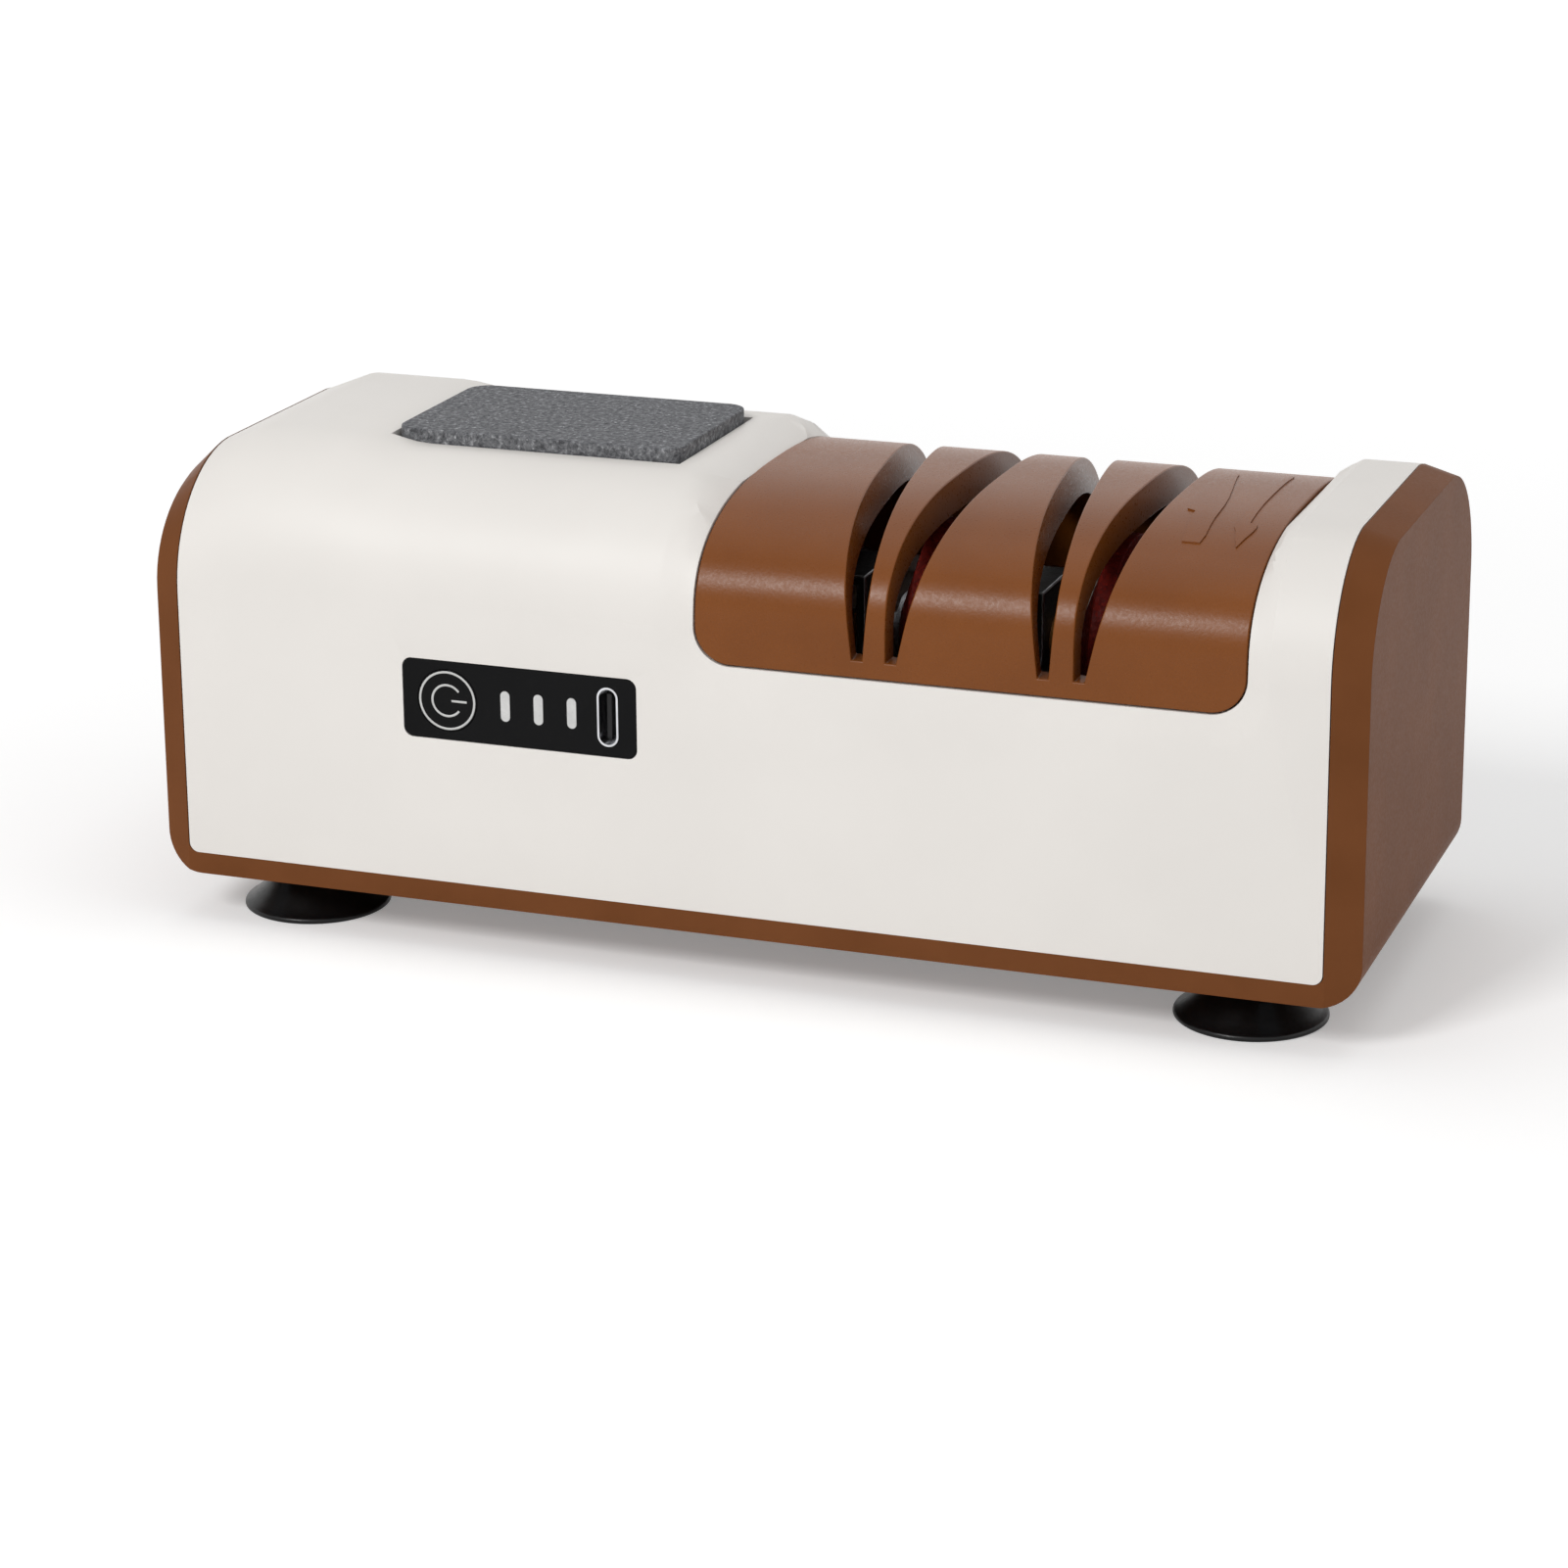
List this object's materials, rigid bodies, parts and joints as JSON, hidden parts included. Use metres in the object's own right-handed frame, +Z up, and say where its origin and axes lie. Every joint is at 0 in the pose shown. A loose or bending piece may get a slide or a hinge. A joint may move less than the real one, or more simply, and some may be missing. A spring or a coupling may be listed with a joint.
{
  "type": "electric knife sharpener",
  "caption": "Bench-top electric knife sharpener: rounded casing in a U-shaped base frame, slotted blade guide over turning grinding wheels, lift-off whetstone and suction feet.",
  "frame": {"origin": "centre of the footprint, on the surface that the suction feet stand on", "axes": "+X from the stone end to the slot end, -Y towards the control panel, +Z up"},
  "size_m": [0.184, 0.0706, 0.0741],
  "materials": {
    "brown_plastic": "fine grained matt moulding",
    "white_plastic": "satin moulding",
    "stone": "speckled grey abrasive stone",
    "foot_rubber": "soft black rubber",
    "black_gloss": "polished black",
    "light_plastic": "milky light guide",
    "black_plastic": "black moulding",
    "switch_steel": "pressed sheet",
    "port_steel": "plated sheet",
    "board_green": "coated board",
    "steel": "machined or pressed steel",
    "dark_magnet": "ferrite",
    "brass": "turned brass",
    "bronze": "sintered bronze",
    "cell_wrap": "shrink wrap",
    "abrasive_red": "dark red abrasive"
  },
  "bodies": {
    "body": {"base_frame": "brown_plastic", "casing_shell": "white_plastic", "guide_left": "brown_plastic", "guide_rib_one": "brown_plastic", "guide_middle": "brown_plastic", "guide_rib_two": "brown_plastic", "guide_right": "brown_plastic", "stone_pad": "foot_rubber", "control_panel": "black_gloss", "led_light_guide": "light_plastic", "tact_switch": "switch_steel", "usb_shell": "port_steel", "usb_tongue": "black_plastic", "main_board": "board_green", "motor_can": "steel", "motor_magnets": "dark_magnet", "motor_end_cap": "black_plastic", "motor_terminals": "brass", "power_carrier": "black_plastic", "battery_cell_front": "cell_wrap", "battery_cell_back": "cell_wrap", "motor_strap": "steel", "bearing_bracket_one": "steel", "bearing_bush_one": "bronze", "bearing_bracket_two": "steel", "bearing_bush_two": "bronze", "bearing_bracket_three": "steel", "bearing_bush_three": "bronze", "suction_foot_front_left": "foot_rubber", "suction_foot_front_right": "foot_rubber", "suction_foot_back_left": "foot_rubber", "suction_foot_back_right": "foot_rubber", "foot_screws": "steel", "cover_screws": "steel"},
    "drive": {"motor_rotor": "steel", "shaft_coupling": "brass", "wheel_shaft": "steel", "wheel_one": "abrasive_red", "wheel_hub_one": "steel", "wheel_two": "abrasive_red", "wheel_hub_two": "steel"},
    "button": {"power_button": "black_gloss", "switch_stem": "black_plastic"},
    "stone": {"whetstone": "stone"}
  },
  "joints": [
    {"name": "drive_spin", "type": "hinge", "parent": "body", "child": "drive", "pos_m": [0, 0, 0.046], "axis": [1, 0, 0], "continuous": true},
    {"name": "button_press", "type": "slide", "parent": "body", "child": "button", "axis": [0, 1, 0], "range_m": [0, 0.0005], "stiffness_N_per_m": 400},
    {"name": "stone_lift", "type": "slide", "parent": "body", "child": "stone", "axis": [0, 0, 1], "range_m": [0, 0.03]}
  ]
}
